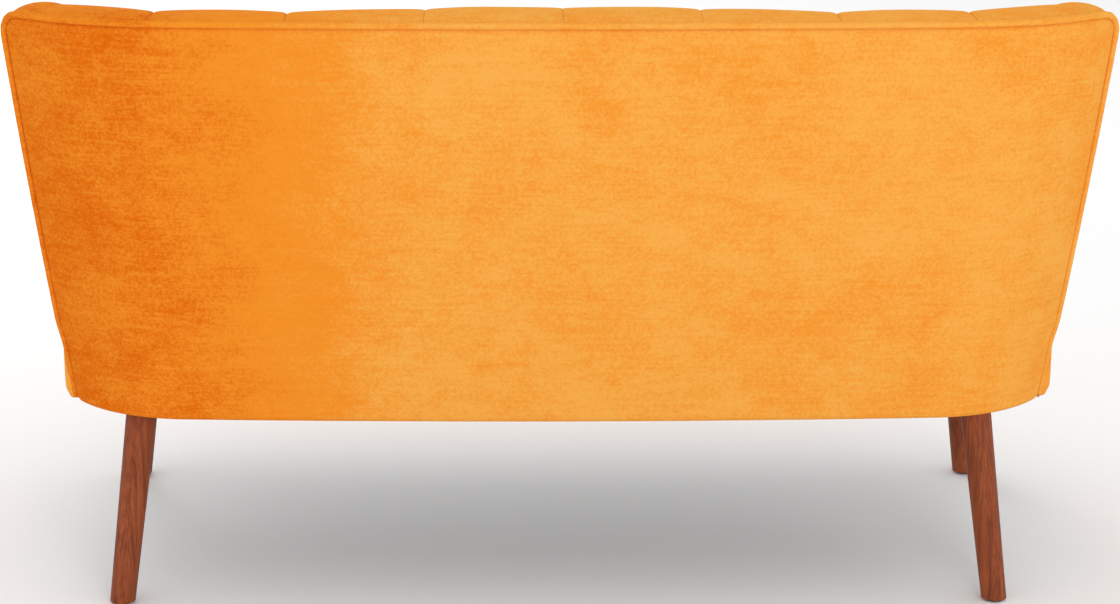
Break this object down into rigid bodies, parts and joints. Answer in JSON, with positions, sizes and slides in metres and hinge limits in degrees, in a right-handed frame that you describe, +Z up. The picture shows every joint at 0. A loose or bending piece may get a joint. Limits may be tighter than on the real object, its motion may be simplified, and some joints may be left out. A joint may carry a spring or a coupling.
{
  "type": "two-seat sofa",
  "caption": "Compact velvet sofa with a curved shell back, short wings, vertical padded channels inside, a bench seat and splayed tapered wooden legs.",
  "frame": {"origin": "on the floor, under the middle of the sofa's overall box", "axes": "+Z up, -Y the way the seat faces, +Y its outside back, +X to the right of someone looking at its front"},
  "size_m": [1.3546, 0.7118, 0.78],
  "materials": {
    "velvet": "matte",
    "velvet_piping": "matte",
    "walnut": "satin",
    "beech": "matte",
    "plywood": "matte",
    "hardboard": "matte",
    "zinc_steel": "satin",
    "spring_steel": "satin",
    "felt": "matte",
    "webbing": "matte",
    "foam": "matte",
    "lining": "matte",
    "glide_plastic": "matte"
  },
  "bodies": {
    "root": {"seat_front_rail": "beech", "seat_rear_rail": "beech", "seat_side_rail_left": "beech", "seat_side_rail_right": "beech", "seat_centre_brace": "beech", "front_corner_formers": "plywood", "rear_corner_formers": "plywood", "leg_block_front_left": "beech", "leg_block_front_right": "beech", "leg_block_rear_left": "beech", "leg_block_rear_right": "beech", "back_post_1": "beech", "back_post_2": "beech", "back_post_3": "beech", "back_post_4": "beech", "wing_panel_left": "plywood", "wing_panel_right": "plywood", "back_top_rail": "plywood", "back_lumbar_rails": "plywood", "back_board": "hardboard", "frame_screws": "zinc_steel", "back_bolts": "zinc_steel", "back_bolt_washers": "zinc_steel", "seat_springs": "spring_steel", "spring_clips": "spring_steel", "spring_tie_wires": "spring_steel", "spring_felt": "felt", "back_webbing": "webbing", "seat_foam": "foam", "back_foam": "foam", "seat_cover": "velvet", "seat_border": "velvet", "seat_piping_upper": "velvet_piping", "seat_piping_lower": "velvet_piping", "wing_roll_left": "velvet", "wing_roll_right": "velvet", "outside_back_cover": "velvet", "back_piping": "velvet_piping", "dust_cover": "lining", "leg_front_left": "walnut", "leg_front_right": "walnut", "leg_rear_left": "walnut", "leg_rear_right": "walnut", "leg_bolts": "zinc_steel", "tee_nuts": "zinc_steel", "leg_glides": "glide_plastic", "back_channel_1": "velvet", "back_channel_2": "velvet", "back_channel_3": "velvet", "back_channel_4": "velvet", "back_channel_5": "velvet", "back_channel_6": "velvet", "back_channel_7": "velvet", "back_channel_8": "velvet"}
  },
  "joints": []
}
